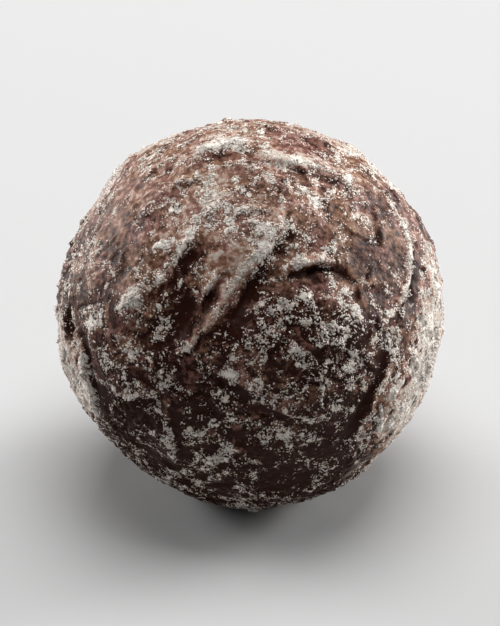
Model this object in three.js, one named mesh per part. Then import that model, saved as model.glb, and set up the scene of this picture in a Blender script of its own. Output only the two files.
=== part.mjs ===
import * as THREE from 'three';
import { mergeVertices } from 'three/addons/utils/BufferGeometryUtils.js';

// A hand-rolled chocolate truffle: one solid ball, pleated and dented where the palms
// turned its soft coat, with a small flat where it was set down to harden.
// Millimetres, +Z up. The origin is the middle of that flat.
//
// A place on the ball is [azimuth, latitude] in degrees: azimuth is counted from the
// front (-Y) towards the right (+X), latitude up from the horizon of the ball's centre.
// A heading is the angle from growing azimuth towards the top.

const diameter = 30;
const footDiameter = 11;
const footRounding = 0.3;
const meshDetail = 19;

const radius = diameter / 2;
const footRadius = footDiameter / 2;
const centreHeight = Math.sqrt(radius ** 2 - footRadius ** 2);

const chocolate = { color: 0x5a4640, roughness: 0.85, metalness: 0 };

// Slow waves over the whole ball, which keep it from being a true sphere.
const swells = [
  { along: [20, 35], wavelength: 26, height: 0.12, phase: 0.4 },
  { along: [115, 10], wavelength: 21, height: 0.11, phase: 2.1 },
  { along: [-70, 50], wavelength: 17, height: 0.09, phase: 4.0 },
  { along: [160, -25], wavelength: 14, height: 0.07, phase: 1.2 },
  { along: [-15, -40], wavelength: 12, height: 0.06, phase: 5.3 },
];

// Many low waves, crossing every way, make the lumps that kneading leaves.
const kneading = { count: 26, wavelengths: [4.5, 10], height: 0.02 };

// Hollows where a finger pressed, [length, width] in size. A negative depth is a low bulge.
const frontDents = [
  { at: [-25, 32], heading: 68, size: [6, 3.2], depth: 0.85 },
  { at: [-37, 37], heading: 78, size: [5, 2.4], depth: 0.45 },
  { at: [-14, 47], heading: 45, size: [5.5, 3.2], depth: -0.45 },
  { at: [1, 35], heading: 60, size: [6.5, 2.6], depth: 0.6 },
  { at: [25, 41], heading: -4, size: [8, 2.8], depth: 0.35 },
  { at: [27, 54], heading: -8, size: [8.5, 5], depth: -0.36 },
  { at: [-46, 30], heading: 80, size: [9, 3.5], depth: -0.25 },
  { at: [130, 45], heading: 40, size: [9, 6], depth: -0.3 },
  { at: [13, -6], heading: -15, size: [7, 4], depth: 0.2 },
  { at: [62, 5], heading: 60, size: [11, 4.5], depth: 0.2 },
  { at: [-39, 8], heading: 8, size: [5, 3.5], depth: -0.25 },
  { at: [20, 75], heading: 30, size: [6, 3.5], depth: 0.18 },
  { at: [-78, -3], heading: 97, size: [13, 8], depth: -0.4 },
];

// Pleats of the coat. Each is a raised lip along a bent line, with a crease on the right
// of its heading. lip is [height, width] and crease is [depth, width]. bend is the radius
// of the line, positive where the line turns left.
const frontPleats = [
  { at: [-15, 29], heading: 56, length: 12, bend: 14, lip: [0.4, 0.8], crease: [0.06, 0.7] },
  { at: [5, 52], heading: 52, length: 10, bend: 17, lip: [0.3, 0.9], crease: [0.25, 0.7] },
  { at: [-5, 38], heading: 59, length: 7, bend: -8.4, lip: [0.1, 0.7], crease: [0.32, 0.7] },
  { at: [24, 46], heading: 5, length: 8, bend: -4.4, lip: [0.38, 0.8], crease: [0.45, 0.85] },
  { at: [-17, 38], heading: 79, length: 5, bend: -4.2, lip: [0.25, 0.7], crease: [0.25, 0.8] },
  { at: [-35, 46], heading: 65, length: 9, bend: -3.5, lip: [0.25, 0.7], crease: [0.24, 0.7] },
  { at: [74, 31], heading: 43, length: 17, bend: 7, lip: [0.4, 0.7], crease: [0.35, 0.8] },
  { at: [82, 21], heading: 28, length: 18, bend: 13, lip: [0.2, 0.7], crease: [0.12, 0.7] },
  { at: [42, 0], heading: -121, length: 14, bend: -190, lip: [0.1, 0.7], crease: [0.25, 0.7] },
  { at: [51, -2], heading: 50, length: 12, bend: -27, lip: [0.2, 0.7], crease: [0.15, 0.7] },
  { at: [-55, 0], heading: 107, length: 12, bend: 6, lip: [0.4, 0.8], crease: [0.3, 0.8] },
  { at: [-71, 9], heading: 143, length: 5, bend: 170, lip: [0.3, 0.7], crease: [0.35, 0.8] },
  { at: [-74, 34], heading: -57, length: 8, bend: 14, lip: [0.25, 0.7], crease: [0.2, 0.7] },
  { at: [-35, 3], heading: 20, length: 7, bend: 3, lip: [0.25, 0.7], crease: [0.25, 0.8] },
  { at: [-22, -11], heading: 94, length: 9, bend: 24, lip: [0.25, 0.7], crease: [0.2, 0.7] },
  { at: [-9, -16], heading: 51, length: 6, bend: -4.4, lip: [0.3, 0.7], crease: [0.15, 0.7] },
  { at: [-97, 83], heading: 117, length: 10, bend: -38, lip: [0.3, 0.8], crease: [0.15, 0.8] },
  { at: [77, 71], heading: -74, length: 9, bend: -38, lip: [0.26, 0.7], crease: [0.2, 0.7] },
];

// The far side is pleated and dented in the same way. Its pleats stand on a spiral that
// turns by the golden angle, wherever that lies within reach of the middle of the far side.
const farSide = {
  middle: [170, -12],
  reach: 77,
  spiralCount: 46,
  length: [6, 16],
  bend: [5, 30],
  lipHeight: [0.22, 0.5],
  creaseDepth: [0.15, 0.5],
  width: [0.55, 0.9],
  dentEvery: 4,
  dentDrop: 4,
  dentSize: [7, 4],
  dentDepth: 0.45,
};

// Lines drawn by hand waver: every direction is nudged by slow waves before it meets them.
const waver = { height: 0.035, turns: 5.3, skew: [1.7, 1.3, 1.9] };

// The crease starts this share of the two widths away from the top of the lip.
const creaseShare = 0.75;

// Steps whose multiples, taken without their whole part, spread evenly through 0 to 1.
const goldenAngle = 360 * 0.381966;
const evenSteps = { heading: 0.414214, length: 0.754878, bend: 0.732051, lip: 0.236068, width: 0.645751 };

const axisX = new THREE.Vector3(1, 0, 0);
const axisZ = new THREE.Vector3(0, 0, 1);

function evenShare(index, step) {
  return (index * step) % 1;
}

function between([least, most], share) {
  return least + (most - least) * share;
}

function direction([azimuth, latitude]) {
  const around = THREE.MathUtils.degToRad(azimuth);
  const up = THREE.MathUtils.degToRad(latitude);
  return new THREE.Vector3(Math.sin(around) * Math.cos(up), -Math.cos(around) * Math.cos(up), Math.sin(up));
}

// Places spread evenly over the ball, from the top down.
function spiralPlace(index, count) {
  const latitude = THREE.MathUtils.radToDeg(Math.asin(1 - (2 * index + 1) / count));
  return [(index * goldenAngle) % 360, latitude];
}

// The three directions at a place: out of the ball, along the heading, and to the left of it.
function localFrame(at, heading) {
  const out = direction(at);
  const along = axisX.clone().applyAxisAngle(axisZ, THREE.MathUtils.degToRad(at[0]));
  along.applyAxisAngle(out, THREE.MathUtils.degToRad(heading));
  const left = new THREE.Vector3().crossVectors(out, along);
  return { out, along, left };
}

function kneadingWaves() {
  return Array.from({ length: kneading.count }, (_, i) => ({
    along: spiralPlace(i, kneading.count),
    wavelength: between(kneading.wavelengths, evenShare(i, evenSteps.length)),
    height: kneading.height,
    phase: 2 * Math.PI * evenShare(i, evenSteps.heading),
  }));
}

function farPleat(i) {
  const widthShare = evenShare(i, evenSteps.width);
  const bendShare = evenShare(i, evenSteps.bend);
  return {
    at: spiralPlace(i, farSide.spiralCount),
    heading: 360 * evenShare(i, evenSteps.heading),
    length: between(farSide.length, evenShare(i, evenSteps.length)),
    bend: between(farSide.bend, bendShare) * (i % 2 === 0 ? 1 : -1),
    lip: [between(farSide.lipHeight, evenShare(i, evenSteps.lip)), between(farSide.width, widthShare)],
    crease: [between(farSide.creaseDepth, bendShare), between(farSide.width, 1 - widthShare)],
  };
}

function farPleats() {
  const middle = direction(farSide.middle);
  const reach = THREE.MathUtils.degToRad(farSide.reach);
  return Array.from({ length: farSide.spiralCount }, (_, i) => farPleat(i))
    .filter((pleat) => direction(pleat.at).angleTo(middle) < reach);
}

function farDents(pleatsNear) {
  return pleatsNear
    .filter((pleat, i) => i % farSide.dentEvery === 0)
    .map(({ at: [azimuth, latitude], heading }) => ({
      at: [azimuth, latitude - farSide.dentDrop],
      heading,
      size: farSide.dentSize,
      depth: farSide.dentDepth,
    }));
}

// A pleat's line is part of a small circle, about a pivot that lies to its left or its right.
function preparePleat(pleat) {
  const { out, left } = localFrame(pleat.at, pleat.heading);
  const side = Math.sign(pleat.bend);
  const opening = Math.atan(Math.abs(pleat.bend) / radius);
  const pivot = out.clone().multiplyScalar(Math.cos(opening)).addScaledVector(left, side * Math.sin(opening));
  const start = out.clone().addScaledVector(pivot, -out.dot(pivot)).normalize();
  const ahead = new THREE.Vector3().crossVectors(pivot, start).multiplyScalar(side);
  return { ...pleat, side, opening, pivot, start, ahead };
}

function prepareDent(dent) {
  return { ...dent, ...localFrame(dent.at, dent.heading) };
}

function prepareWave(wave) {
  return { ...wave, axis: direction(wave.along) };
}

const pleatsBehind = farPleats();
const pleats = [...frontPleats, ...pleatsBehind].map(preparePleat);
const dents = [...frontDents, ...farDents(pleatsBehind)].map(prepareDent);
const waves = [...swells, ...kneadingWaves()].map(prepareWave);

function waveHeight(towards, wave) {
  const turned = (2 * Math.PI * radius * towards.dot(wave.axis)) / wave.wavelength;
  return wave.height * Math.sin(turned + wave.phase);
}

// A dent is a bell curve, longer along its heading than across it.
function dentHeight(towards, dent) {
  if (towards.dot(dent.out) <= 0) {
    return 0;
  }
  const along = (2 * radius * towards.dot(dent.along)) / dent.size[0];
  const across = (2 * radius * towards.dot(dent.left)) / dent.size[1];
  return -dent.depth * Math.exp(-(along ** 2) - across ** 2);
}

// Across its line a pleat is a lip with a crease beside it. Towards its ends both fade.
function pleatHeight(towards, pleat) {
  const turned = Math.atan2(towards.dot(pleat.ahead), towards.dot(pleat.start));
  const alongShare = (2 * radius * Math.sin(pleat.opening) * turned) / pleat.length;
  if (Math.abs(alongShare) >= 1) {
    return 0;
  }
  const left = pleat.side * radius * (pleat.opening - towards.angleTo(pleat.pivot));
  const fade = (1 - alongShare ** 2) ** 2;
  const [lipHeight, lipWidth] = pleat.lip;
  const [creaseDepth, creaseWidth] = pleat.crease;
  const fromCrease = left + creaseShare * (lipWidth + creaseWidth);
  const lip = lipHeight * Math.exp(-((left / lipWidth) ** 2));
  const crease = creaseDepth * Math.exp(-((fromCrease / creaseWidth) ** 2));
  return fade * (lip - crease);
}

function wavered({ x, y, z }) {
  const nudge = new THREE.Vector3(
    Math.sin(waver.turns * y + waver.skew[0] * z),
    Math.sin(waver.turns * z + waver.skew[1] * x),
    Math.sin(waver.turns * x + waver.skew[2] * y),
  );
  return new THREE.Vector3(x, y, z).addScaledVector(nudge, waver.height).normalize();
}

// The lesser of two lengths, with the corner where they cross rounded off.
function roundedLesser(a, b, rounding) {
  const overlap = Math.max(rounding - Math.abs(a - b), 0) / rounding;
  return Math.min(a, b) - (overlap ** 2 * rounding) / 4;
}

function distanceFromCentre(towards) {
  const uneven = wavered(towards);
  let distance = radius;
  for (const wave of waves) {
    distance += waveHeight(towards, wave);
  }
  for (const dent of dents) {
    distance += dentHeight(uneven, dent);
  }
  for (const pleat of pleats) {
    distance += pleatHeight(uneven, pleat);
  }
  if (towards.z < 0) {
    distance = roundedLesser(distance, centreHeight / -towards.z, footRounding);
  }
  return distance;
}

function truffleGeometry() {
  const ball = new THREE.IcosahedronGeometry(1, meshDetail);
  ball.deleteAttribute('normal');
  ball.deleteAttribute('uv');
  const geometry = mergeVertices(ball);
  const points = geometry.getAttribute('position');
  const towards = new THREE.Vector3();
  for (let i = 0; i < points.count; i += 1) {
    towards.fromBufferAttribute(points, i).normalize();
    const point = towards.clone().multiplyScalar(distanceFromCentre(towards));
    points.setXYZ(i, point.x, point.y, Math.max(point.z + centreHeight, 0));
  }
  geometry.computeVertexNormals();
  return geometry;
}

function truffleMesh() {
  const mesh = new THREE.Mesh(truffleGeometry(), new THREE.MeshStandardMaterial(chocolate));
  mesh.name = 'truffle';
  return mesh;
}

const truffle = new THREE.Group();
truffle.add(truffleMesh());

export default truffle;
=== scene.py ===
import bpy
import numpy as np
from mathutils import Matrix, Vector


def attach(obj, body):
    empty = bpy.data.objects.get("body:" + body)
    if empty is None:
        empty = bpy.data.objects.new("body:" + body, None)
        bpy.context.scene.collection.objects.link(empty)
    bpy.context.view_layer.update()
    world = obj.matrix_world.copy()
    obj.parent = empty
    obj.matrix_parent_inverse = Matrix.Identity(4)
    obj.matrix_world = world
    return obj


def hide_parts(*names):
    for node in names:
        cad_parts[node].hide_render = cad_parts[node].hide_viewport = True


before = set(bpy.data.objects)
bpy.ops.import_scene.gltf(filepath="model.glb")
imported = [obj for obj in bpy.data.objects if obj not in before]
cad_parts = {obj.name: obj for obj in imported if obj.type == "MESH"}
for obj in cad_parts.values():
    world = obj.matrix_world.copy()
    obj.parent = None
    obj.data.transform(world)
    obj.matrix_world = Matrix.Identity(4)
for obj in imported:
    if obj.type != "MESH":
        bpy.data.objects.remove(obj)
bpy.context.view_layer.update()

mm = 0.001  # the shapes below are worked out in millimetres, and Blender is in metres

# The ball itself, with the same sizes and places as the solid it replaces. Its pleats are
# narrower than the solid's and some creases are deeper, and three faint pleats are only here.
# A place is (azimuth, latitude) in degrees: azimuth from the front (-Y) towards the right (+X),
# latitude above the ball's centre. A heading runs from growing azimuth towards the top.
ball = {
    "diameter": 30.0,
    "footDiameter": 11.0,
    "footRounding": 0.3,
    "gridSteps": 126,  # cells along the side of each of the six patches
    "waver": 0.035,
    "waverTurns": 5.3,
    "waverSkew": (1.7, 1.3, 1.9),
    "creaseShare": 0.75,
}
radius = ball["diameter"] / 2
footRadius = ball["footDiameter"] / 2
centreHeight = np.sqrt(radius ** 2 - footRadius ** 2)

# place the wave runs along, wavelength, height, phase
swells = [
    ((20, 35), 26, 0.12, 0.4),
    ((115, 10), 21, 0.11, 2.1),
    ((-70, 50), 17, 0.09, 4.0),
    ((160, -25), 14, 0.07, 1.2),
    ((-15, -40), 12, 0.06, 5.3),
]
kneading = {"count": 26, "wavelengths": (4.5, 10), "height": 0.02}

# place, heading, (length, width), depth
frontDents = [
    ((-25, 32), 68, (6, 3.2), 0.85),
    ((-37, 37), 78, (5, 2.4), 0.45),
    ((-14, 47), 45, (5.5, 3.2), -0.45),
    ((1, 35), 60, (6.5, 2.6), 0.6),
    ((25, 41), -4, (8, 2.8), 0.35),
    ((27, 54), -8, (8.5, 5), -0.36),
    ((-46, 30), 80, (9, 3.5), -0.25),
    ((130, 45), 40, (9, 6), -0.3),
    ((13, -6), -15, (7, 4), 0.2),
    ((62, 5), 60, (11, 4.5), 0.2),
    ((-39, 8), 8, (5, 3.5), -0.25),
    ((20, 75), 30, (6, 3.5), 0.18),
    ((-78, -3), 97, (13, 8), -0.4),
]

# place, heading, length, bend, (lip height, lip width), (crease depth, crease width)
frontPleats = [
    ((-15, 29), 56, 12, 14, (0.4, 0.38), (0.06, 0.4)),
    ((5, 52), 52, 10, 17, (0.3, 0.9), (0.25, 0.5)),
    ((-5, 38), 59, 7, -8.4, (0.1, 0.5), (0.32, 0.45)),
    ((24, 46), 5, 8, -4.4, (0.38, 0.42), (0.55, 0.36)),
    ((47, 35), -39, 7, 12, (0.12, 0.45), (0.06, 0.45)),
    ((-17, 38), 79, 5, -4.2, (0.3, 0.35), (0.4, 0.35)),
    ((-35, 46), 65, 9, -3.5, (0.25, 0.7), (0.24, 0.7)),
    ((74, 31), 43, 17, 7, (0.4, 0.3), (0.35, 0.45)),
    ((82, 21), 28, 18, 13, (0.2, 0.4), (0.12, 0.4)),
    ((42, 0), -121, 14, -190, (0.1, 0.45), (0.25, 0.45)),
    ((51, -2), 50, 12, -27, (0.2, 0.4), (0.15, 0.4)),
    ((-55, 0), 107, 12, 6, (0.4, 0.45), (0.3, 0.5)),
    ((-71, 9), 143, 5, 170, (0.3, 0.45), (0.5, 0.5)),
    ((-74, 34), -57, 8, 14, (0.25, 0.7), (0.2, 0.6)),
    ((-35, 3), 20, 7, 3, (0.25, 0.4), (0.3, 0.5)),
    ((15, -1), -25, 7, 5.6, (0.16, 0.4), (0.16, 0.5)),
    ((-3, 13), -36, 7, -13, (0.16, 0.5), (0.15, 0.5)),
    ((-22, -11), 94, 9, 24, (0.25, 0.45), (0.2, 0.45)),
    ((-9, -16), 51, 6, -4.4, (0.3, 0.6), (0.15, 0.6)),
    ((-97, 83), 117, 10, -38, (0.3, 0.8), (0.15, 0.8)),
    ((77, 71), -74, 9, -38, (0.26, 0.7), (0.2, 0.6)),
]

farSide = {
    "middle": (170, -12),
    "reach": 77,
    "spiralCount": 46,
    "length": (6, 16),
    "bend": (5, 30),
    "lipHeight": (0.22, 0.5),
    "creaseDepth": (0.15, 0.5),
    "width": (0.55, 0.9),
    "dentEvery": 4,
    "dentDrop": 4,
    "dentSize": (7, 4),
    "dentDepth": 0.45,
}
goldenAngle = 360 * 0.381966  # the full turn, split by the golden ratio

# Close to numbers that aren't fractions, such as the square root of 2 less 1, so that their
# multiples never fall into step
evenSteps = {
    "heading": 0.414214,
    "length": 0.754878,
    "bend": 0.732051,
    "lip": 0.236068,
    "width": 0.645751,
}


# The first limit at a share of 0, the second at 1
def between(limits, share):
    return limits[0] + (limits[1] - limits[0]) * share


# The part after the point of index * step, which spreads evenly from 0 to 1
def evenShare(index, kind):
    return (index * evenSteps[kind]) % 1


# (sin azimuth * cos latitude, -cos azimuth * cos latitude, sin latitude)
def direction(place):
    around, up = np.radians(place)
    return np.array([np.sin(around) * np.cos(up), -np.cos(around) * np.cos(up), np.sin(up)])


# A spiral over the ball: each place is a golden angle further round and 2 / count radii lower
def spiralPlace(index, count):
    return (index * goldenAngle) % 360, np.degrees(np.arcsin(1 - (2 * index + 1) / count))


# out of the ball, along the heading, and to the left of it
def localFrame(place, heading):
    out = direction(place)
    around, turn = np.radians(place[0]), np.radians(heading)
    east = np.array([np.cos(around), np.sin(around), 0])
    along = east * np.cos(turn) + np.cross(out, east) * np.sin(turn)
    return out, along, np.cross(out, along)


# A pleat on the spiral, with an even share of the way between the limits for each of its sizes
def farPleat(i):
    bendShare, widthShare = evenShare(i, "bend"), evenShare(i, "width")
    lip = (between(farSide["lipHeight"], evenShare(i, "lip")), between(farSide["width"], widthShare))
    crease = (between(farSide["creaseDepth"], bendShare), between(farSide["width"], 1 - widthShare))
    bend = between(farSide["bend"], bendShare) * (1 if i % 2 == 0 else -1)
    length = between(farSide["length"], evenShare(i, "length"))
    heading = 360 * evenShare(i, "heading")
    return (spiralPlace(i, farSide["spiralCount"]), heading, length, bend, lip, crease)


# Those of the spiral's pleats whose angle from the far side's middle is less than the reach
def farPleats():
    reach = np.cos(np.radians(farSide["reach"]))
    made = [farPleat(i) for i in range(farSide["spiralCount"])]
    return [p for p in made if direction(p[0]) @ direction(farSide["middle"]) > reach]


# A dent a little below one pleat in every few
def farDents(pleatsNear):
    size, depth = farSide["dentSize"], farSide["dentDepth"]
    return [((place[0], place[1] - farSide["dentDrop"]), heading, size, depth)
            for place, heading, *_ in pleatsNear[::farSide["dentEvery"]]]


# Low waves that run along the directions of a spiral, such as rolling by hand leaves
def kneadingWaves():
    return [(spiralPlace(i, kneading["count"]), between(kneading["wavelengths"], evenShare(i, "length")),
             kneading["height"], 2 * np.pi * evenShare(i, "heading")) for i in range(kneading["count"])]


# Random slopes and places for the noises, the same on every run
noiseRandom = np.random.default_rng(11)
noiseEntries = 256
noiseOrder = noiseRandom.permutation(noiseEntries)
noiseSlopes = noiseRandom.normal(size=(noiseEntries, 3))
noiseSlopes /= np.linalg.norm(noiseSlopes, axis=1, keepdims=True)
noisePlaces = noiseRandom.random((noiseEntries, 3))
noiseGain = 1.6  # brings the blended slopes to about -1 to 1

# Each use of the noise has its own seed, and a list of sizes counts up from it
noiseSeeds = {
    "pleats": 19,
    "lumps": 20,
    "stray": 30,
    "threads": 40,
    "threadBreaks": 45,
    "pebbles": 50,
    "pebbleFields": 51,
    "sugarDrifts": 60,
    "filmDrifts": 65,
    "flange": 70,
    "pits": 71,
    "powderBreaks": 80,
}


# A shuffled number for each cell: order[order[order[x + seed] + y] + z]
def latticeEntry(cells, seed):
    entry = noiseOrder[(cells[:, 0] + seed) % noiseEntries]
    entry = noiseOrder[(entry + cells[:, 1]) % noiseEntries]
    return noiseOrder[(entry + cells[:, 2]) % noiseEntries]


# Every corner of a lattice of cells has a random slope. A point takes the heights that the
# slopes of its cell's corners give it, blended by 6t^5 - 15t^4 + 10t^3.
def slopeNoise(points, cell, seed):
    at = points / cell
    corner = np.floor(at).astype(int)
    part = at - corner
    ease = part ** 3 * (part * (part * 6 - 15) + 10)
    total = np.zeros(len(points))
    for step in np.ndindex(2, 2, 2):
        slope = noiseSlopes[latticeEntry(corner + step, seed)]
        weight = np.where(step, ease, 1 - ease).prod(axis=1)
        total += weight * (slope * (part - step)).sum(axis=1)
    return total * noiseGain


# One random place in each cell of a lattice: the distances, in cells, from a point to the
# nearest of them and to the next.
def cellDistances(points, cell, seed):
    at = points / cell
    corner = np.floor(at).astype(int)
    nearest = np.full(len(points), np.inf)
    second = nearest.copy()
    for step in np.ndindex(3, 3, 3):
        neighbour = corner + step - 1
        spot = neighbour + noisePlaces[latticeEntry(neighbour, seed)]
        distance = np.linalg.norm(spot - at, axis=1)
        second = np.minimum(second, np.maximum(nearest, distance))
        nearest = np.minimum(nearest, distance)
    return nearest, second


# 3t^2 - 2t^3, with t going from 0 to 1 between the limits
def smoothStep(low, high, value):
    share = np.clip((value - low) / (high - low), 0, 1)
    return share * share * (3 - 2 * share)


def unit(vectors):
    return vectors / np.linalg.norm(vectors, axis=-1, keepdims=True)


# A closed ball of directions. Each side of a cube carries a grid of two whole numbers, which
# tan(n / steps * 45 degrees) spaces by equal angles. Corners that sides share are merged.
def ballGrid(steps):
    number = np.arange(-steps, steps + 1, 2)
    a, b = np.meshgrid(number, number, indexing="ij")
    corners = np.empty((6,) + a.shape + (3,), int)
    for side in range(6):
        axis, sign = side // 2, 1 - 2 * (side % 2)
        corners[side, ..., axis] = sign * steps
        corners[side, ..., (axis + 1) % 3] = a
        corners[side, ..., (axis + 2) % 3] = sign * b
    span = 2 * steps + 1
    keys = ((corners + steps) @ np.array([span * span, span, 1])).ravel()
    _, first, back = np.unique(keys, return_index=True, return_inverse=True)
    index = back.reshape(corners.shape[:-1])
    quads = np.stack([index[:, :-1, :-1], index[:, 1:, :-1], index[:, 1:, 1:], index[:, :-1, 1:]], axis=-1)
    cube = np.tan(corners.reshape(-1, 3)[first] / steps * np.pi / 4)
    return unit(cube), quads.reshape(-1, 4)


# height * sin(2 pi * distance along the wave's axis / wavelength + phase)
def waveHeights(towards, waves):
    total = np.zeros(len(towards))
    for place, wavelength, height, phase in waves:
        total += height * np.sin(2 * np.pi * radius * (towards @ direction(place)) / wavelength + phase)
    return total


# -depth * exp(-(2 along / length)^2 - (2 across / width)^2)
def dentHeights(towards, dents):
    total = np.zeros(len(towards))
    for place, heading, (length, width), depth in dents:
        out, along, left = localFrame(place, heading)
        far = (2 * radius * (towards @ along) / length) ** 2 + (2 * radius * (towards @ left) / width) ** 2
        total -= np.where(towards @ out > 0, depth * np.exp(-far), 0)
    return total


bellReach = 3  # beyond this many widths a bell curve is as good as flat
tiny = 1e-9  # keeps the length that is divided by from being zero


# An arc follows a small circle about a pivot on its left or its right. For the corners near
# it: which they are, the distance t to the left of the line, (1 - s^2)^2 with s the share of
# half the arc's length, and the way to the left of the arc.
def arcFrame(towards, place, heading, length, bend, margin):
    out, _, left = localFrame(place, heading)
    side = np.sign(bend)
    opening = np.arctan(abs(bend) / radius)
    reach = np.cos(min((length / 2 + margin) / radius, np.pi))
    near = np.flatnonzero(towards @ out > reach)
    point = towards[near]
    pivot = out * np.cos(opening) + left * side * np.sin(opening)
    start = unit(out - pivot * (out @ pivot))
    ahead = np.cross(pivot, start) * side
    turned = np.arctan2(point @ ahead, point @ start)
    share = np.clip(2 * radius * np.sin(opening) * turned / length, -1, 1)
    toLeft = side * radius * (opening - np.arccos(np.clip(point @ pivot, -1, 1)))
    leftwards = side * unit(pivot - point * (point @ pivot)[:, None] + tiny)
    return near, toLeft, (1 - share ** 2) ** 2, leftwards


# How powder sees a pleat, which also sets the painted shade in its crease and the painted
# highlight on its lip: one as tall or deep as fullSize counts as 1
pleatMarks = {"fullSize": 0.3, "mostLip": 1.5, "mostCrease": 1}


# With t and s as above, a pleat's height is
# (1 - s^2)^2 * (lip * exp(-(t / lipWidth)^2) - crease * exp(-((t + offset) / creaseWidth)^2)).
# Its fold is the same lip moved sideways over the crease, by overhang times the lip height.
def addPleats(towards, pleats, overhang):
    height = np.zeros(len(towards))
    lipness = np.zeros(len(towards))
    creaseness = np.zeros(len(towards))
    fold = np.zeros((len(towards), 3))
    for place, heading, length, bend, (lip, lipWidth), (crease, creaseWidth) in pleats:
        margin = bellReach * (lipWidth + creaseWidth)
        near, toLeft, fade, leftwards = arcFrame(towards, place, heading, length, bend, margin)
        lipBell = fade * np.exp(-(toLeft / lipWidth) ** 2)
        offset = ball["creaseShare"] * (lipWidth + creaseWidth)
        creaseBell = fade * np.exp(-((toLeft + offset) / creaseWidth) ** 2)
        height[near] += lip * lipBell - crease * creaseBell
        lipMark = min(lip / pleatMarks["fullSize"], pleatMarks["mostLip"])
        creaseMark = min(crease / pleatMarks["fullSize"], pleatMarks["mostCrease"])
        lipness[near] = np.maximum(lipness[near], lipBell * lipMark)
        creaseness[near] = np.maximum(creaseness[near], creaseBell * creaseMark)
        fold[near] -= leftwards * (overhang * lip * lipBell)[:, None]
    return height, lipness, creaseness, fold


# Each direction is nudged by waver * sin(turns * one axis + skew * the next), so that pleats
# waver as if drawn by hand
def wavered(towards):
    x, y, z = towards.T
    turns, skew = ball["waverTurns"], ball["waverSkew"]
    nudge = np.stack([np.sin(turns * y + skew[0] * z), np.sin(turns * z + skew[1] * x),
                      np.sin(turns * x + skew[2] * y)], axis=1)
    return unit(towards + ball["waver"] * nudge)


# The lesser of two distances. Where they are less than the rounding apart it is lowered by
# overlap^2 * rounding / 4, with overlap 1 where they are the same.
def roundedLesser(a, b, rounding):
    overlap = np.clip(rounding - np.abs(a - b), 0, None) / rounding
    return np.minimum(a, b) - overlap ** 2 * rounding / 4


# The coat: fine relief on the ball, in millimetres
coat = {
    "overhang": 0.7,  # how far a lip leans over its crease, as a share of its height
    "stray": ((2.4, 0.4), (1.1, 0.26), (0.55, 0.14)),  # cell size, how far lines wander
    "pleatVariety": (1.9, 0.4),  # cell size, how much a pleat's height varies along it
    "lumps": ((3.4, 0.17), (1.6, 0.08), (0.75, 0.04)),  # cell size, height
    "threads": ((1.7, 0.22, 0.11), (0.95, 0.26, 0.07)),  # cell size, width of the line, height
    "threadBreaks": (2.4, (-0.1, 0.3)),  # cell size, noise at which there are none and all
    "pebbles": (0.85, 0.2, 0.12),  # cell size, height, depth between them
    "pebbleFields": (4.0, (-0.25, 0.35)),  # cell size, noise at which there are none and all
    "pebblesBelow": 0.4,  # how much more common they are below than on top
    "pebbleForm": (0.75, 0.7),  # reach as a share of a cell, power
    "pebbleGap": (0.22, 0.02),  # cells by which one pebble is nearer than the next: starts, full
    "deepestHollow": 1.5,
    "mostSmoothing": 0.85,
    "wrinkleMark": 0.6,  # how far a fine crease counts as a crease, and a gap between pebbles, for powder and painted shade
    "gapMark": 0.35,
}

wrinkle = {
    "count": 560,
    "scatter": (9, 6),  # degrees each may stand from its even place, azimuth and latitude
    "length": (0.9, 4.5),
    "fewLong": 1.5,  # power
    "bend": (0.8, 7.0),
    "lipHeight": (0.05, 0.22),
    "creaseDepth": (0.04, 0.22),
    "width": (0.17, 0.32),
    "seed": 23,
}

# Where it stood the coat is pitted, and some of its powder was pressed out into a rim
foot = {
    "pitDepth": 0.04,
    "pitSize": 0.7,
    "pitNoise": (0.6, 1.5),  # added to the noise, and the most that counts
    "flange": (0.35, 0.35, 0.16),  # distance out from the foot, width, height
    "flangeVariety": (1.4, 0.6),  # cell size, how much the rim's height varies
    "flangeSugar": 0.5,
    "foldFades": (-1.0, 0.2),  # mm past the foot's edge: where lips start to lean, and fully do
}

# How many grains of sugar stick to the coat, from 0 for none to 1 for a closed layer. Its growth
# towards the top, and its loss in creases and hollows, are partly painted shade.
sugar = {
    "everywhere": 0.06,
    "drifts": ((4.5, 0.14), (1.9, 0.26), (0.8, 0.26)),  # cell size, how much more or less
    "onThreads": 0.3,
    "onLips": 0.55,
    "onPebbles": 0.2,
    # less sugar in creases: partly real, partly painted shade
    "inCreasesLessPowderAndPaintedShade": -0.4,
    "inHollowsLessPowderAndPaintedShade": -0.3,  # for each mm of depth; partly real, partly painted shade in the dents
    # more sugar higher up and less lower down: partly real, partly painted shade on the lower half
    "onTopPartlyPaintedShadeBelow": 0.11,
    "limits": (-0.5, 1),
}

# The film of sugar dust that greys the bare chocolate, on the same scale. Its growth towards the
# top and its loss in creases and hollows are partly painted shade, and its gain on lips partly
# a painted highlight.
film = {
    "everywhere": 0.03,
    "drifts": ((2.8, 0.26), (0.9, 0.26)),
    # thicker film higher up and thinner lower down: partly real, partly painted shade on the lower half
    "onTopPartlyPaintedShadeBelow": 0.52,
    # more film on raised lips: partly real, partly a painted highlight on the ridges
    "onLips": 0.35,
    # much less film in creases: partly real, partly painted shade
    "inCreasesLessPowderAndPaintedShade": -0.9,
    # less film in the dents, for each mm of depth: partly real, partly painted shade
    "inHollowsLessPowderAndPaintedShade": -0.4,
    "limits": (-0.5, 1.1),
}

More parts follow.
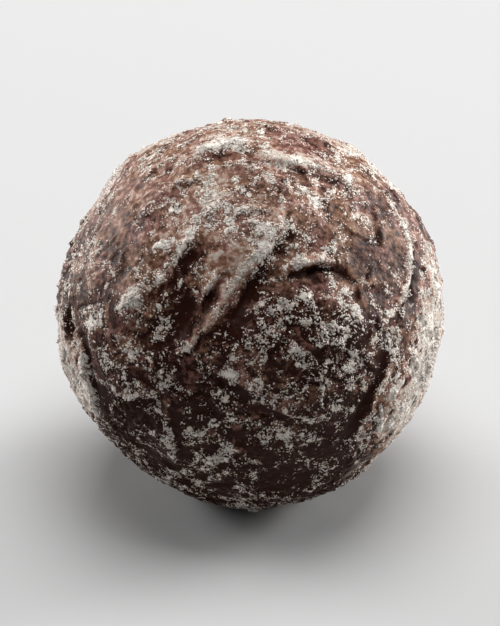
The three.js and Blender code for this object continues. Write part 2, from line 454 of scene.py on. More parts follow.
# place, radius in mm, more sugar, more film, how far the fine relief is smoothed there
patches = [
    ((-17, 47), 1.7, 0.1, 0.4, 0.5),  # the ridge and the flat it rises to
    ((-8, 42), 1.3, 0.1, 0.4, 0.5),
    ((-9, 36), 0.6, 0.0, 0.4, 0.6),
    ((-13, 31), 0.5, -0.3, 0.4, 0.7),
    ((-17, 25), 0.5, 0.0, 0.3, 0.5),
    ((-36, 36), 0.8, -0.4, -0.3, 0.3),  # the deep dent, and the cleft right of the ridge: painted shade
    ((-23, 32), 1.1, -0.5, -0.4, 0.3),
    ((-23, 51), 0.9, -0.3, -0.1, 0.6),
    ((2, 39), 0.6, -0.4, -0.3, 0.3),
    ((-5, 28), 1.0, -0.6, -0.5, 0.3),
    ((-43, 46), 0.8, 0.6, 0.3, 0.0),
    ((-45, 32), 1.0, 1.0, 0.3, 0.0),
    ((-59, 18), 0.9, 0.6, 0.2, 0.0),
    ((-58, 46), 1.3, -0.3, -0.2, 0.2),
    ((-31, 26), 0.8, 0.6, 0.1, 0.0),
    ((-75, 47), 2.3, -0.4, 0.0, 0.5),
    ((-62, 38), 2.2, -0.4, -0.1, 0.5),
    ((-37, 16), 0.9, 0.7, 0.1, 0.0),
    ((-24, 15), 1.0, -0.3, -0.3, 0.0),
    ((-39, 10), 1.3, -0.2, 0.0, 0.3),
    ((-40, -5), 2.2, -0.35, -0.4, 0.0),
    ((16, 30), 2.0, 0.1, -0.4, 0.0),
    ((35, 24), 2.0, 0.05, -0.4, 0.0),
    ((20, 47), 0.9, 0.25, 0.2, 0.0),
    ((28, 16), 1.5, -0.3, -0.25, 0.0),
    ((51, 19), 0.8, 0.4, 0.2, 0.0),
    ((38, 11), 1.0, 0.3, 0.1, 0.0),
    ((18, 17), 0.8, 0.3, 0.0, 0.0),
    ((11, 39), 0.9, -0.3, -0.1, 0.0),
    ((24, 55), 1.6, -0.15, -0.2, 0.0),
    ((33, 44), 0.9, -0.3, -0.1, 0.0),
    ((23, 43), 0.7, -0.6, -0.5, 0.4),  # below the brow; this one is painted shadow under it
    ((23, 39), 0.7, -0.5, 0.1, 0.6),
    ((45, 42), 1.9, -0.4, -0.2, 0.5),
    ((62, 35), 1.2, -0.5, -0.15, 0.6),
    ((82, 47), 1.6, -0.5, -0.2, 0.6),
    ((30, 34), 0.7, 0.4, 0.3, 0.2),
    ((8, 34), 0.8, 0.5, 0.0, 0.0),
    ((-104, 87), 1.3, 0.3, 0.4, 0.0),  # the top
    ((66, 76), 1.2, 0.25, 0.3, 0.0),
    ((85, 57), 1.2, 0.2, 0.2, 0.0),
    ((113, 72), 1.7, -0.35, -0.15, 0.3),
    ((-33, 78), 1.2, 0.1, 0.25, 0.0),
    ((-24, 61), 1.3, 0.3, 0.35, 0.0),
    ((25, -15), 1.5, -0.35, -0.4, 0.0),  # low on the front; those with less powder are painted shade
    ((-25, -24), 1.5, -0.3, -0.4, 0.0),
    ((8, -30), 2.0, -0.3, -0.4, 0.0),
    ((-13, 3), 1.8, -0.3, -0.3, 0.0),
    ((-8, -17), 0.8, 0.45, 0.1, 0.0),
    ((14, -7), 1.1, 0.6, 0.2, 0.0),
    ((-1, -5), 1.5, 0.0, 0.25, 0.3),
    ((41, -26), 1.2, -0.5, -0.6, 0.0),
    ((34, -36), 1.5, -0.5, -0.6, 0.0),
    ((82, 12), 2.6, 0.7, 1.4, 0.3),  # the dusty band on the right
    ((77, 2), 2.6, 0.5, 1.2, 0.2),
    ((67, -3), 2.7, 0.45, 1.2, 0.2),
    ((58, -9), 2.6, 0.4, 1.1, 0.3),
    ((58, -25), 2.4, 0.4, 1.2, 0.3),
    ((49, -14), 2.2, 0.4, 1.0, 0.3),
    ((-75, 3), 1.7, 0.5, 1.1, 0.3),  # the flap on the left
    ((-68, -4), 2.5, 0.6, 1.3, 0.3),
    ((-62, -10), 2.0, 0.6, 1.2, 0.3),
]

# place, heading, length, bend, width in mm; more sugar, more film, smoothing
smears = [
    ((-15, 29), 56, 12, 14, 0.7, -0.25, -0.35, 0.0),  # along the ridge
    ((74, 31), 43, 16, 6.8, 0.28, 0.5, 0.9, 0.5),  # along the right seam, and bare outside it
    ((74, 24), 19, 12, -14, 0.4, -0.7, -0.6, 0.4),
    ((42, -3), 59, 11, -600, 0.3, 0.5, 0.6, 0.3),  # along the inner side of the band
    ((38, -1), 60, 11, -25, 0.35, -0.7, -1.0, 0.3),
    ((79, -17), 55, 26, 600, 2.6, 0.2, 0.9, 0.1),  # round the limb of the band: dust and painted rim light
    ((-55, 1), 107, 10, 6, 0.25, 0.6, 0.8, 0.3),  # the flap's inner edge, the slot above it, its limb
    # the slot above the flap: less sugar and film, painted shade
    ((-71, 9), 143, 4, 170, 0.45, -0.9, -1.2, 0.3),
    # the flap's limb: dust, and painted rim light along the silhouette
    ((-83, -11), 125, 15, 600, 1.8, 0.4, 1.0, 0.3),
    ((-97, 83), 117, 8, -38, 0.4, 0.3, 0.4, 0.3),  # across the top
    ((67, 77), -59, 5, 56, 0.35, 0.4, 0.5, 0.3),
    ((43, 36), -9, 8, -4.9, 0.35, 0.35, 0.3, 0.3),  # below the brow
    ((-3, 14), -36, 7, -9.6, 0.45, 0.6, 0.4, 0.0),  # low on the front
    ((15, -1), -25, 7, 5.5, 0.3, 0.4, 0.2, 0.0),
    ((-35, 3), 20, 7, 2.9, 0.3, 0.4, 0.3, 0.0),
    ((-22, -11), 94, 8, 24, 0.3, 0.5, 0.0, 0.0),
    ((-19, 24), 42, 4.5, 7.3, 0.25, 0.3, 0.4, 0.5),
    ((-65, 33), 0, 4.5, 10, 0.25, 0.6, 0.3, 0.0),
    ((-118, 44), 133, 13, -15, 1.9, 0.2, 0.7, 0.3),  # the pale edges, far left and far right: dust and painted rim light
    ((118, 47), 51, 15, 44, 1.4, 0.2, 0.6, 0.3),
]


# Lines along which the slope noise crosses zero: exp(-(noise / width)^2)
def threadNoise(points, cell, width, seed):
    return np.exp(-(slopeNoise(points, cell, seed) / width) ** 2)


# Points pushed about by noise of several sizes, so that lines drawn on them come out ragged
def strayed(points, scales, seed):
    pushed = points.copy()
    for step, (cell, push) in enumerate(scales):
        for axis in range(3):
            pushed[:, axis] += push * slopeNoise(points, cell, seed + 3 * step + axis)
    return pushed


# Short fine pleats on a spiral, each moved a little, in the same form as the large ones
def wrinkles():
    random = np.random.default_rng(wrinkle["seed"])
    sideways, upwards = wrinkle["scatter"]
    made = []
    for i in range(wrinkle["count"]):
        azimuth, latitude = spiralPlace(i, wrinkle["count"])
        azimuth += random.uniform(-sideways, sideways)
        latitude += random.uniform(-upwards, upwards)
        share = random.random(4)
        bend = between(wrinkle["bend"], share[0]) * random.choice([-1, 1])
        lip = (between(wrinkle["lipHeight"], share[1]), between(wrinkle["width"], share[2]))
        crease = (between(wrinkle["creaseDepth"], share[3]), between(wrinkle["width"], share[0]))
        length = between(wrinkle["length"], random.random() ** wrinkle["fewLong"])
        made.append(((azimuth, latitude), random.uniform(0, 360), length, bend, lip, crease))
    return made


# What the patches and smears add is broken up by noise: cell size and strength, then the limits
powderBreaks = {"noises": ((0.9, 0.8), (2.2, 0.5)), "limits": (0.4, 1.4)}


# A patch fades as exp(-(distance / radius)^2), and a smear as (1 - s^2)^2 * exp(-(t / width)^2),
# with the t and s of its arc. Noise breaks both up. Returns sugar, film and smoothing. Some patches
# and smears are painted shade, and some painted rim light, as marked in the lists.
def powderAndPaintedLightSums(towards):
    sums = np.zeros((3, len(towards)))
    for place, size, *more in patches:
        away = 2 * radius * np.arcsin(np.linalg.norm(towards - direction(place), axis=1) / 2)
        sums += np.outer(more, np.exp(-(away / size) ** 2))
    for place, heading, length, bend, width, *more in smears:
        near, toLeft, fade, _ = arcFrame(towards, place, heading, length, bend, bellReach * width)
        sums[:, near] += np.outer(more, fade * np.exp(-(toLeft / width) ** 2))
    broken = np.ones(len(towards))
    for i, (cell, strength) in enumerate(powderBreaks["noises"]):
        broken += strength * slopeNoise(towards * radius, cell, noiseSeeds["powderBreaks"] + i)
    return sums * np.clip(broken, *powderBreaks["limits"])


# Wrinkles, with lumps of slope noise. Threads lie where such a noise crosses zero. Around a place
# in each cell a pebble falls off as (1 - distance / reach)^power, with gaps between two pebbles.
def fineRelief(towards, ragged):
    points, raggedPoints = towards * radius, ragged * radius
    height, lips, creases, fold = addPleats(ragged, wrinkles(), coat["overhang"])
    for i, (cell, tall) in enumerate(coat["lumps"]):
        height += tall * slopeNoise(points, cell, noiseSeeds["lumps"] + i)

    lace = np.zeros(len(points))
    breakCell, breakLimits = coat["threadBreaks"]
    for i, (cell, width, tall) in enumerate(coat["threads"]):
        thread = threadNoise(raggedPoints, cell, width, noiseSeeds["threads"] + i)
        thread *= smoothStep(*breakLimits, slopeNoise(points, breakCell, noiseSeeds["threadBreaks"] + i))
        height += tall * thread
        lace = np.maximum(lace, thread)

    cell, tall, deep = coat["pebbles"]
    fieldCell, fieldLimits = coat["pebbleFields"]
    reach, power = coat["pebbleForm"]
    nearest, second = cellDistances(raggedPoints, cell, noiseSeeds["pebbles"])
    field = slopeNoise(points, fieldCell, noiseSeeds["pebbleFields"])
    pebbled = smoothStep(*fieldLimits, field - coat["pebblesBelow"] * towards[:, 2])
    pebbles = pebbled * np.clip(1 - nearest / reach, 0, 1) ** power
    gaps = pebbled * smoothStep(*coat["pebbleGap"], second - nearest)
    height += tall * pebbles - deep * gaps
    return {"height": height, "fold": fold, "lips": lips, "creases": creases,
            "lace": lace, "pebbles": pebbles, "gaps": gaps}


# Sugar and film are sums of what lies everywhere, what grows towards the top, drifts of slope
# noise, what the patches and smears add, and a share for each feature of the relief. The growth
# towards the top is partly painted shade on the lower half, less in creases and hollows is partly
# painted shade, more film on lips is partly a painted highlight, and some patches and smears are
# painted shade and painted rim light.
def powderAndPaintedLightAmounts(towards, ragged, large, fine, rough, addedSugarAndPaintedLight, addedFilmAndPaintedLight):
    creases = np.maximum(large["creases"], coat["wrinkleMark"] * fine["creases"] * rough)
    creases = np.maximum(creases, coat["gapMark"] * fine["gaps"] * rough)
    lips = np.maximum(large["lips"], fine["lips"] * rough)
    dustAndPaintedLight = sugar["everywhere"] + sugar["onTopPartlyPaintedShadeBelow"] * towards[:, 2] + addedSugarAndPaintedLight
    for i, (cell, more) in enumerate(sugar["drifts"]):
        dustAndPaintedLight += more * slopeNoise(ragged * radius, cell, noiseSeeds["sugarDrifts"] + i)
    dustAndPaintedLight += (sugar["onThreads"] * fine["lace"] + sugar["onPebbles"] * fine["pebbles"]) * rough
    dustAndPaintedLight += sugar["onLips"] * lips + sugar["inCreasesLessPowderAndPaintedShade"] * creases
    dustAndPaintedLight += sugar["inHollowsLessPowderAndPaintedShade"] * large["hollow"]
    veilAndPaintedLight = film["everywhere"] + film["onTopPartlyPaintedShadeBelow"] * towards[:, 2] + film["inCreasesLessPowderAndPaintedShade"] * creases
    veilAndPaintedLight += film["onLips"] * large["lips"] + film["inHollowsLessPowderAndPaintedShade"] * large["hollow"] + addedFilmAndPaintedLight
    for i, (cell, more) in enumerate(film["drifts"]):
        veilAndPaintedLight += more * slopeNoise(ragged * radius, cell, noiseSeeds["filmDrifts"] + i)
    return dustAndPaintedLight, veilAndPaintedLight


# The coat is as far from the centre as the body and the fine relief make it, but no farther than
# the ground. A rim exp(-((distance from the foot - offset) / width)^2) runs round the foot, and
# lips lean over their creases. Returns its corners, the sugar on each and the film on each, both
# with painted shade and painted rim light in them.
def coatSurface(towards):
    points = towards * radius
    uneven = wavered(towards)
    ragged = unit(strayed(uneven * radius, coat["stray"], noiseSeeds["stray"]))
    far = farPleats()
    body = radius + waveHeights(towards, swells + kneadingWaves())
    dented = dentHeights(uneven, frontDents + farDents(far))
    body += dented
    height, lips, creases, fold = addPleats(ragged, frontPleats + far, coat["overhang"])
    cell, variety = coat["pleatVariety"]
    body += height * (1 + variety * slopeNoise(points, cell, noiseSeeds["pleats"]))
    large = {"lips": lips, "creases": creases, "hollow": np.clip(-dented, 0, coat["deepestHollow"])}

    fine = fineRelief(towards, ragged)
    addedSugarAndPaintedLight, addedFilmAndPaintedLight, smoothing = powderAndPaintedLightSums(ragged)
    rough = 1 - np.clip(smoothing, 0, coat["mostSmoothing"])
    dustAndPaintedLight, veilAndPaintedLight = powderAndPaintedLightAmounts(towards, ragged, large, fine, rough, addedSugarAndPaintedLight, addedFilmAndPaintedLight)

    fromFoot = radius * np.hypot(towards[:, 0], towards[:, 1]) - footRadius
    low = towards[:, 2] < 0
    offset, width, tall = foot["flange"]
    flange = np.where(low, np.exp(-((fromFoot - offset) / width) ** 2), 0)
    cell, variety = foot["flangeVariety"]
    flange *= 1 + variety * slopeNoise(points, cell, noiseSeeds["flange"])
    dustAndPaintedLight += foot["flangeSugar"] * flange
    distance = body + (fine["height"] * rough + tall * flange)

    added, most = foot["pitNoise"]
    pits = np.clip(slopeNoise(points, foot["pitSize"], noiseSeeds["pits"]) + added, 0, most)
    ground = (centreHeight - foot["pitDepth"] * pits) / np.clip(-towards[:, 2], tiny, None)
    distance = np.where(low, roundedLesser(distance, ground, ball["footRounding"]), distance)
    leaning = np.clip(smoothStep(*foot["foldFades"], fromFoot) + ~low, 0, 1)
    surface = towards * distance[:, None] + (fold + fine["fold"]) * leaning[:, None]
    surface[:, 2] = np.clip(surface[:, 2] + centreHeight, 0, None)
    return surface, np.clip(dustAndPaintedLight, *sugar["limits"]), np.clip(veilAndPaintedLight, *film["limits"])


# A piece from corners in millimetres and faces of one number of sides
def meshPiece(name, points, faces, smooth=True):
    mesh = bpy.data.meshes.new(name)
    sides = faces.shape[1]
    mesh.vertices.add(len(points))
    mesh.vertices.foreach_set("co", (points * mm).astype(np.float32).ravel())
    mesh.loops.add(faces.size)
    mesh.loops.foreach_set("vertex_index", faces.astype(np.int32).ravel())
    mesh.polygons.add(len(faces))
    mesh.polygons.foreach_set("loop_start", np.arange(0, faces.size, sides, dtype=np.int32))
    mesh.polygons.foreach_set("use_smooth", np.full(len(faces), smooth))
    mesh.update(calc_edges=True)
    mesh.validate()
    piece = bpy.data.objects.new(name, mesh)
    bpy.context.scene.collection.objects.link(piece)
    return piece


# A number at each corner, which a material reads by its name
def pointValues(piece, name, values):
    layer = piece.data.attributes.new(name, "FLOAT", "POINT")
    layer.data.foreach_set("value", values.astype(np.float32))


# sRGB hex to the linear colour a shader works with: a value s becomes s / 12.92 if it is dark,
# and ((s + 0.055) / 1.055)^2.4 if not
def hexColour(text):
    srgb = np.array([int(text[i:i + 2], 16) for i in (1, 3, 5)]) / 255
    linear = np.where(srgb <= 0.04045, srgb / 12.92, ((srgb + 0.055) / 1.055) ** 2.4)
    return (*linear, 1.0)


def newMaterial(name):
    material = bpy.data.materials.new(name)
    material.use_nodes = True
    return material, material.node_tree.nodes["Principled BSDF"]


# Adds one node with its settings, and links or sets its inputs. i0 is the first input, i1 the next.
def addNode(material, kind, settings=None, **inputs):
    node = material.node_tree.nodes.new(kind)
    for key, value in (settings or {}).items():
        setattr(node, key, value)
    for key, value in inputs.items():
        socket = node.inputs[int(key[1:])] if key[0] == "i" and key[1:].isdigit() else node.inputs[key]
        if isinstance(value, bpy.types.NodeSocket):
            material.node_tree.links.new(value, socket)
        else:
            socket.default_value = value
    return node


def link(material, output, socket):
    material.node_tree.links.new(output, socket)


chocolateLook = {
    "bare": "#2D1209",
    "bareRoughness": 0.5,
    "ior": 1.46,
    "specular": 0.12,  # the powder breaks up most of the gloss
    "sheen": 0.4,
    "sheenRoughness": 0.18,
    "sheenTint": "#E8D8C6",
    "skinSize": 0.45,
    "relief": 0.09,  # mm
    "filmed": ("#8D6258", "#946D56"),  # from one place to another, more mauve or more tan
    "filmSize": 3.0,
    "filmBlend": (0.4, 0.6),  # noise at which it is all the one colour, and all the other
    "filmUnevenness": 2.3,
    "fullFilm": 0.7,  # thickness at which none of the bare colour is left
    "thickFilm": ((0.55, 0.85, "#B4988A"), (0.8, 1.04, "#C2B9AD")),  # starts, is full, colour
    "dullSugar": "#BA967C",
    "whiteSugar": "#FDF4EA",
    "whiteShare": 0.6,  # how far a second chance of its own whitens a grain
    "sugarRoughness": 0.9,
    "closedLayer": (0.75, 1.0),  # amounts of sugar at which it starts, and is full
    "grains": ((0.14, 0.0), (0.46, 0.22)),  # mm, by how much the amount has to beat the chance
    "grainEdge": 0.06,
    "grainOutline": (0.66, 0.42),  # cells from its middle where it ends, and where it is full
    "grainHeight": 0.6,
    "strayGrains": 0.16,  # mm
    "cloudSize": 1.3,
    "cloudContrast": 3.7,
    "laceSize": 1.3,
    "laceLine": (0.03, 0.005),  # how far from 0.5 the noise is where a line ends, and is full
    "laceBreaks": (0.48, 0.58),  # cloud at which there is no line, and a whole one
    "laceSugar": 0.5,
}


# Map Range runs from 0 at the first limit to 1 at the second
def fromLimits(limits):
    return {"From Min": limits[0], "From Max": limits[1]}


# The sugar in one place: the coat's sugar amount, which carries painted shade and painted rim
# light, + contrast * (cloud - 0.5) + lace. The lace is short pale lines where a noise is close
# to 0.5, broken up by the cloud.
def sugarAmount(material, place, bent, dustAndPaintedLight):
    look = chocolateLook
    cloud = addNode(material, "ShaderNodeTexNoise", Vector=place, Scale=1 / (look["cloudSize"] * mm),
                    Detail=6.0, Roughness=0.7).outputs["Fac"]
    lace = addNode(material, "ShaderNodeTexNoise", Vector=bent, Scale=1 / (look["laceSize"] * mm),
                   Detail=3.0, Roughness=0.6, Distortion=0.7).outputs["Fac"]
    lace = addNode(material, "ShaderNodeMath", {"operation": "SUBTRACT"}, i0=lace, i1=0.5).outputs[0]
    lace = addNode(material, "ShaderNodeMath", {"operation": "ABSOLUTE"}, i0=lace).outputs[0]
    lace = addNode(material, "ShaderNodeMapRange", {"interpolation_type": "SMOOTHSTEP"}, Value=lace,
                   **fromLimits(look["laceLine"])).outputs[0]
    broken = addNode(material, "ShaderNodeMapRange", Value=cloud, **fromLimits(look["laceBreaks"]),
                     **{"To Max": look["laceSugar"]}).outputs[0]
    amount = addNode(material, "ShaderNodeMath", {"operation": "MULTIPLY_ADD"}, i0=lace, i1=broken, i2=dustAndPaintedLight)
    amount = addNode(material, "ShaderNodeMath", {"operation": "MULTIPLY_ADD"}, i0=cloud,
                     i1=look["cloudContrast"], i2=amount.outputs[0])
    return addNode(material, "ShaderNodeMath", {"operation": "SUBTRACT"}, i0=amount.outputs[0],
                   i1=look["cloudContrast"] / 2).outputs[0]


# Every cell of a pattern is one grain, which is there if the amount beats its own chance. One
# pattern has single crumbs, the next has crumbs that caked together. Returns how far sugar
# covers the coat, how tall it is, and the chances of the caked crumbs.
def grainCover(material, bent, amount):
    look = chocolateLook
    cover = addNode(material, "ShaderNodeMapRange", {"interpolation_type": "SMOOTHSTEP"}, Value=amount,
                    **fromLimits(look["closedLayer"])).outputs[0]
    tall = cover
    for size, least in look["grains"]:
        cells = addNode(material, "ShaderNodeTexVoronoi", Vector=bent, Scale=1 / (size * mm))
        chances = addNode(material, "ShaderNodeSeparateColor", i0=cells.outputs["Color"])
        beats = addNode(material, "ShaderNodeMath", {"operation": "SUBTRACT"}, i0=amount,
                        i1=chances.outputs[0]).outputs[0]
        here = addNode(material, "ShaderNodeMapRange", Value=beats,
                       **fromLimits((least, least + look["grainEdge"]))).outputs[0]
        body = addNode(material, "ShaderNodeMapRange", {"interpolation_type": "SMOOTHSTEP"},
                       Value=cells.outputs["Distance"], **fromLimits(look["grainOutline"])).outputs[0]
        grain = addNode(material, "ShaderNodeMath", {"operation": "MULTIPLY"}, i0=here, i1=body).outputs[0]
        cover = addNode(material, "ShaderNodeMath", {"operation": "MAXIMUM"}, i0=cover, i1=grain).outputs[0]
        tall = addNode(material, "ShaderNodeMath", {"operation": "MULTIPLY_ADD"}, i0=grain,
                       i1=look["grainHeight"], i2=tall).outputs[0]
    return cover, tall, chances


# The film is the coat's film amount, which carries painted shade and painted rim light,
# + unevenness * (skin - 0.5) thick. With its thickness the colour goes from bare chocolate to
# the film's own, and then to paler ones.
def filmColour(material, place, veilAndPaintedLight, skin):
    look = chocolateLook
    thickness = addNode(material, "ShaderNodeMath", {"operation": "SUBTRACT"}, i0=skin, i1=0.5).outputs[0]
    thickness = addNode(material, "ShaderNodeMath", {"operation": "MULTIPLY_ADD", "use_clamp": True},
                        i0=thickness, i1=look["filmUnevenness"], i2=veilAndPaintedLight).outputs[0]
    tint = addNode(material, "ShaderNodeTexNoise", Vector=place, Scale=1 / (look["filmSize"] * mm),
                   Detail=3.0).outputs["Fac"]
    tint = addNode(material, "ShaderNodeMapRange", Value=tint, **fromLimits(look["filmBlend"])).outputs[0]
    dusty = addNode(material, "ShaderNodeMix", {"data_type": "RGBA"}, i0=tint,
                    i6=hexColour(look["filmed"][0]), i7=hexColour(look["filmed"][1])).outputs[2]
    filmed = addNode(material, "ShaderNodeMapRange", Value=thickness,
                     **fromLimits((0, look["fullFilm"]))).outputs[0]
    colour = addNode(material, "ShaderNodeMix", {"data_type": "RGBA"}, i0=filmed,
                     i6=hexColour(look["bare"]), i7=dusty).outputs[2]
    for starts, full, paler in look["thickFilm"]:
        thick = addNode(material, "ShaderNodeMapRange", Value=thickness,
                        **fromLimits((starts, full))).outputs[0]
        colour = addNode(material, "ShaderNodeMix", {"data_type": "RGBA"}, i0=thick,
                         i6=colour, i7=hexColour(paler)).outputs[2]
    return colour


# Dark chocolate, rolled between warm palms and tossed in icing sugar. Cocoa butter leaves the
# bare coat a deep red brown with a soft gloss. A film of sugar dust greys it, and grains of
# sugar lie on it, single in some places and in a closed white layer in others. A crystal of
# icing sugar is about 0.05 mm, and the smallest grain here is a crumb of several.
def dustedChocolate():
    look = chocolateLook
    material, shader = newMaterial("dustedDarkChocolate")
    place = addNode(material, "ShaderNodeTexCoord").outputs["Object"]
    # the sugar and film read here carry the coat's painted shade and painted rim light
    dustAndPaintedLight = addNode(material, "ShaderNodeAttribute", {"attribute_name": "dustAndPaintedLight"}).outputs["Fac"]
    veilAndPaintedLight = addNode(material, "ShaderNodeAttribute", {"attribute_name": "veilAndPaintedLight"}).outputs["Fac"]
    skin = addNode(material, "ShaderNodeTexNoise", Vector=place, Scale=1 / (look["skinSize"] * mm),
                   Detail=5.0, Roughness=0.6)
    bent = addNode(material, "ShaderNodeVectorMath", {"operation": "MULTIPLY_ADD"}, i0=skin.outputs["Color"],
                   i1=(look["strayGrains"] * mm,) * 3, i2=place).outputs[0]
    amount = sugarAmount(material, place, bent, dustAndPaintedLight)
    cover, tall, chances = grainCover(material, bent, amount)
    base = filmColour(material, place, veilAndPaintedLight, skin.outputs["Fac"])
    white = addNode(material, "ShaderNodeMath", {"operation": "MULTIPLY_ADD", "use_clamp": True},
                    i0=chances.outputs[1], i1=look["whiteShare"], i2=amount).outputs[0]
    grainColour = addNode(material, "ShaderNodeMix", {"data_type": "RGBA"}, i0=white,
                          i6=hexColour(look["dullSugar"]), i7=hexColour(look["whiteSugar"])).outputs[2]
    base = addNode(material, "ShaderNodeMix", {"data_type": "RGBA"}, i0=cover,
                   i6=base, i7=grainColour).outputs[2]
    link(material, base, shader.inputs["Base Color"])

    rough = addNode(material, "ShaderNodeMapRange", Value=cover,
                    **{"To Min": look["bareRoughness"], "To Max": look["sugarRoughness"]}).outputs[0]
    link(material, rough, shader.inputs["Roughness"])
    height = addNode(material, "ShaderNodeMath", {"operation": "ADD"}, i0=tall, i1=skin.outputs["Fac"])
    bump = addNode(material, "ShaderNodeBump", Height=height.outputs[0], Strength=1.0,
                   Distance=look["relief"] * mm)
    link(material, bump.outputs[0], shader.inputs["Normal"])
    shader.inputs["IOR"].default_value = look["ior"]
    shader.inputs["Specular IOR Level"].default_value = look["specular"]
    shader.inputs["Sheen Weight"].default_value = look["sheen"]
    shader.inputs["Sheen Roughness"].default_value = look["sheenRoughness"]
    shader.inputs["Sheen Tint"].default_value = hexColour(look["sheenTint"])
    return material


crumbLook = {
    "colours": ("#A3948A", "#E2DCD6"),  # from one place to another
    "cloudSize": 0.5,
    "roughness": 0.8,
    "ior": 1.54,
    "scattering": 0.8,
    "scatterDepth": 0.2,  # mm
    "scatterShares": (1, 0.95, 0.9),  # how deep red, green and blue go, as a share of that
    "gritSize": 0.08,
    "gritStrength": 0.5,
    "gritRelief": 0.03,  # mm
}


# Icing sugar in crumbs: fine crystals stuck together, off-white and matt, a little see-through
def crumbledSugar():
    look = crumbLook
    material, shader = newMaterial("crumbledIcingSugar")
    place = addNode(material, "ShaderNodeTexCoord").outputs["Object"]
    cloud = addNode(material, "ShaderNodeTexNoise", Vector=place, Scale=1 / (look["cloudSize"] * mm),
                    Detail=3.0).outputs["Fac"]
    base = addNode(material, "ShaderNodeMix", {"data_type": "RGBA"}, i0=cloud,
                   i6=hexColour(look["colours"][0]), i7=hexColour(look["colours"][1])).outputs[2]
    link(material, base, shader.inputs["Base Color"])
    grit = addNode(material, "ShaderNodeTexNoise", Vector=place, Scale=1 / (look["gritSize"] * mm),
                   Detail=2.0).outputs["Fac"]
    bump = addNode(material, "ShaderNodeBump", Height=grit, Strength=look["gritStrength"],
                   Distance=look["gritRelief"] * mm)
    link(material, bump.outputs[0], shader.inputs["Normal"])
    shader.inputs["Roughness"].default_value = look["roughness"]
    shader.inputs["IOR"].default_value = look["ior"]
    shader.inputs["Subsurface Weight"].default_value = look["scattering"]
    shader.inputs["Subsurface Radius"].default_value = look["scatterShares"]
    shader.inputs["Subsurface Scale"].default_value = look["scatterDepth"] * mm
    return material


# The corners of a regular 20-sided ball, and its faces: every three corners one edge apart
def twentySided():
    golden = (1 + 5 ** 0.5) / 2
    edge = 2
    corners = np.array([(-1, golden, 0), (1, golden, 0), (-1, -golden, 0), (1, -golden, 0),
                        (0, -1, golden), (0, 1, golden), (0, -1, -golden), (0, 1, -golden),
                        (golden, 0, -1), (golden, 0, 1), (-golden, 0, -1), (-golden, 0, 1)])
    gaps = np.linalg.norm(corners[:, None] - corners[None], axis=2)
    near = np.isclose(gaps, edge)
    a, b, c = np.nonzero(near[:, :, None] & near[:, None, :] & near[None, :, :])
    faces = np.stack([a, b, c], axis=1)
    faces = faces[(a < b) & (b < c)]
    first, second, third = (corners[faces[:, i]] for i in range(3))
    inward = (np.cross(second - first, third - first) * first).sum(axis=1) < 0
    faces[inward] = faces[inward][:, ::-1]
    return unit(corners), faces


# Loose sugar: single grains all over, and heaps of grains that caked together
grains = {
    "count": 4200,
    "size": (0.11, 0.27),
    "fewLarge": 2.4,  # power
    "flat": (0.5, 1.0),
    "uneven": (0.7, 1.25),
    "stretch": (0.7, 1.3),
    "tilt": 0.35,
    "lowest": 0.5,  # mm above the floor
    "likeSugar": 2,  # power of the sugar on the coat that gives a grain's chance
    "anywhere": 0.004,  # its chance where there is none
    "seed": 5,
}
heaps = {
    "count": 120,
    "grainsEach": (8, 46),
    "spread": (0.16, 0.5),
    "fewLarge": 2,
    "height": 0.3,
    "lift": (0, 1.6),  # how high a grain lies, as a share of the heap there
    "away": 0.08,
    "lowest": 1.2,
    "likeSugar": 4,
    "anywhere": 0.001,
}


# The chance of each corner above the lowest height: sugar^power + anywhere, divided by the sum,
# with the painted shade in the sugar amount as well
def sugarChances(surface, dustAndPaintedLight, kind):
    chance = np.where(surface[:, 2] > kind["lowest"], dustAndPaintedLight ** kind["likeSugar"] + kind["anywhere"], 0)
    return chance / chance.sum()


# Grains lie on corners of the coat's grid, more of them where there is more sugar. Heaps are
# centred on such corners too, and their grains lie around the centre and on one another, in
# height * exp(-(distance / spread)^2). Each grain is the 20-sided ball with its corners moved in
# or out, stretched and turned at random.
def looseSugar(surface, normals, dustAndPaintedLight):
    random = np.random.default_rng(grains["seed"])
    dustAndPaintedLight = np.clip(dustAndPaintedLight, 0, 1)
    chosen = random.choice(len(surface), grains["count"], p=sugarChances(surface, dustAndPaintedLight, grains))
    lift = np.zeros(len(chosen))
    for centre in random.choice(len(surface), heaps["count"], p=sugarChances(surface, dustAndPaintedLight, heaps)):
        share = random.random() ** heaps["fewLarge"]
        spread = between(heaps["spread"], share)
        far = np.linalg.norm(surface - surface[centre], axis=1)
        fall = np.where(far < bellReach * spread, np.exp(-(far / spread) ** 2), 0)
        inHeap = random.choice(len(surface), int(between(heaps["grainsEach"], share)), p=fall / fall.sum())
        chosen = np.append(chosen, inHeap)
        raised = heaps["height"] * spread * fall[inHeap] * random.uniform(*heaps["lift"], len(inHeap))
        lift = np.append(lift, raised)

    corners, faces = twentySided()
    count, width = len(chosen), len(corners)
    out = normals[chosen]
    side = unit(np.cross(out, random.normal(size=(count, 3))))
    tilt = unit(out + random.normal(size=(count, 3)) * grains["tilt"])
    side = unit(np.cross(tilt, side))
    axes = np.stack([side, np.cross(tilt, side), tilt], axis=1)
    size = between(grains["size"], random.random(count) ** grains["fewLarge"])
    stretch = random.uniform(*grains["stretch"], (count, 3)) * size[:, None] / 2
    stretch[:, 2] *= random.uniform(*grains["flat"], count)
    shape = corners * random.uniform(*grains["uneven"], (count, width, 1)) * stretch[:, None, :]
    middle = surface[chosen] + out * lift[:, None]
    middle += random.uniform(-1, 1, middle.shape) * heaps["away"]
    points = np.einsum("gvi,gij->gvj", shape, axes) + middle[:, None, :]
    index = faces[None] + width * np.arange(count)[:, None, None]
    return points.reshape(-1, 3), index.reshape(-1, 3)


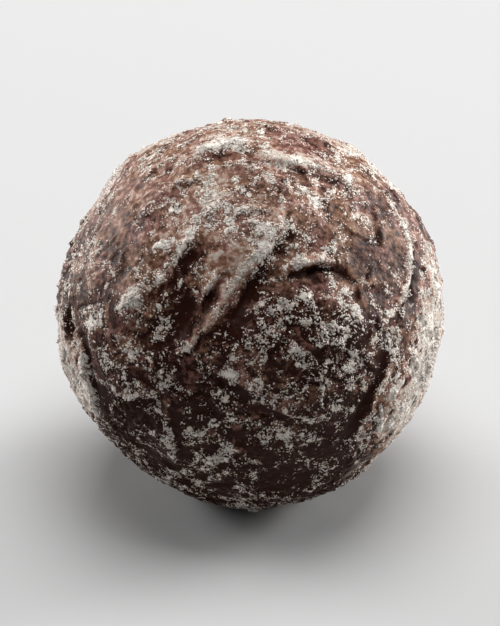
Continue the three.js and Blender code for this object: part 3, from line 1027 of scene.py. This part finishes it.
# The way out of each corner: the cross products of the diagonals of its cells, added up
def cornerNormals(points, quads):
    a, b, c, d = (points[quads[:, i]] for i in range(4))
    normal = np.cross(c - a, d - b)
    total = np.zeros_like(points)
    for corner in range(4):
        np.add.at(total, quads[:, corner], normal)
    return unit(total)


towards, quads = ballGrid(ball["gridSteps"])
surface, dustAndPaintedLight, veilAndPaintedLight = coatSurface(towards)
print("coat worked out:", len(quads), "cells")
truffle = meshPiece("truffleCoat", surface, quads)
# sugar and film at each corner, with the painted shade and painted rim light in them
pointValues(truffle, "dustAndPaintedLight", dustAndPaintedLight)
pointValues(truffle, "veilAndPaintedLight", veilAndPaintedLight)
truffle.data.materials.append(dustedChocolate())
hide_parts("truffle")
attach(truffle, "root")

normals = cornerNormals(surface, quads)
loosePoints, looseFaces = looseSugar(surface, normals, dustAndPaintedLight)
loose = meshPiece("sugarGrains", loosePoints, looseFaces, smooth=False)
loose.data.materials.append(crumbledSugar())
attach(loose, "root")
print("loose sugar:", len(looseFaces), "faces")

# studio: a wide pale floor, a large soft light overhead and one behind the truffle on each side
studio = {
    "floorSize": 6.0,
    "floorColour": "#C6C6C6",
    "floorGrain": 2,  # mm
    "floorRoughness": (0.7, 0.8),
    "lights": {  # place, size, power
        "overheadSoftbox": ((0.04, 0.12, 0.55), 0.5, 3.4),
        "rightSoftbox": ((0.47, 0.26, 0.1), 0.24, 4.6),
        "leftSoftbox": ((-0.43, 0.3, 0.1), 0.24, 3.2),
    },
    "worldStrength": 0.05,
    "cameraElevation": 33.0,
    "cameraDistance": 0.515,
    "cameraClip": (0.01, 20),
    "lens": 376.0,
}


def makeFloor():
    half = studio["floorSize"] / 2 / mm
    corners = np.array([(-half, -half, 0), (half, -half, 0), (half, half, 0), (-half, half, 0)], float)
    floor = meshPiece("paleFloor", corners, np.array([[0, 1, 2, 3]]), smooth=False)
    material, shader = newMaterial("palePaper")
    place = addNode(material, "ShaderNodeTexCoord").outputs["Object"]
    grain = addNode(material, "ShaderNodeTexNoise", Vector=place, Scale=1 / (studio["floorGrain"] * mm),
                    Detail=3.0).outputs["Fac"]
    shader.inputs["Base Color"].default_value = hexColour(studio["floorColour"])
    smoothest, roughest = studio["floorRoughness"]
    rough = addNode(material, "ShaderNodeMapRange", Value=grain,
                    **{"To Min": smoothest, "To Max": roughest}).outputs[0]
    link(material, rough, shader.inputs["Roughness"])
    floor.data.materials.append(material)


def areaLight(name, place, size, power, target):
    data = bpy.data.lights.new(name, "AREA")
    data.shape = "SQUARE"
    data.size = size
    data.energy = power
    light = bpy.data.objects.new(name, data)
    light.location = place
    light.rotation_euler = (Vector(target) - Vector(place)).to_track_quat("-Z", "Y").to_euler()
    bpy.context.scene.collection.objects.link(light)


def makeCamera(target):
    data = bpy.data.cameras.new("camera")
    data.lens = studio["lens"]
    data.clip_start, data.clip_end = studio["cameraClip"]
    camera = bpy.data.objects.new("camera", data)
    up = np.radians(studio["cameraElevation"])
    back = Vector((0, -np.cos(up), np.sin(up)))
    camera.location = target + back * studio["cameraDistance"]
    camera.rotation_euler = (-back).to_track_quat("-Z", "Y").to_euler()
    bpy.context.scene.collection.objects.link(camera)
    bpy.context.scene.camera = camera


def makeWorld():
    world = bpy.data.worlds.new("studioAir")
    world.use_nodes = True
    background = world.node_tree.nodes["Background"]
    background.inputs["Color"].default_value = hexColour("#FFFFFF")
    background.inputs["Strength"].default_value = studio["worldStrength"]
    bpy.context.scene.world = world


middle = Vector((0, 0, centreHeight * mm))
makeFloor()
for name, (place, size, power) in studio["lights"].items():
    areaLight(name, place, size, power, middle)
makeWorld()
makeCamera(middle)
bpy.context.scene.view_settings.view_transform = "Standard"
print("studio ready")
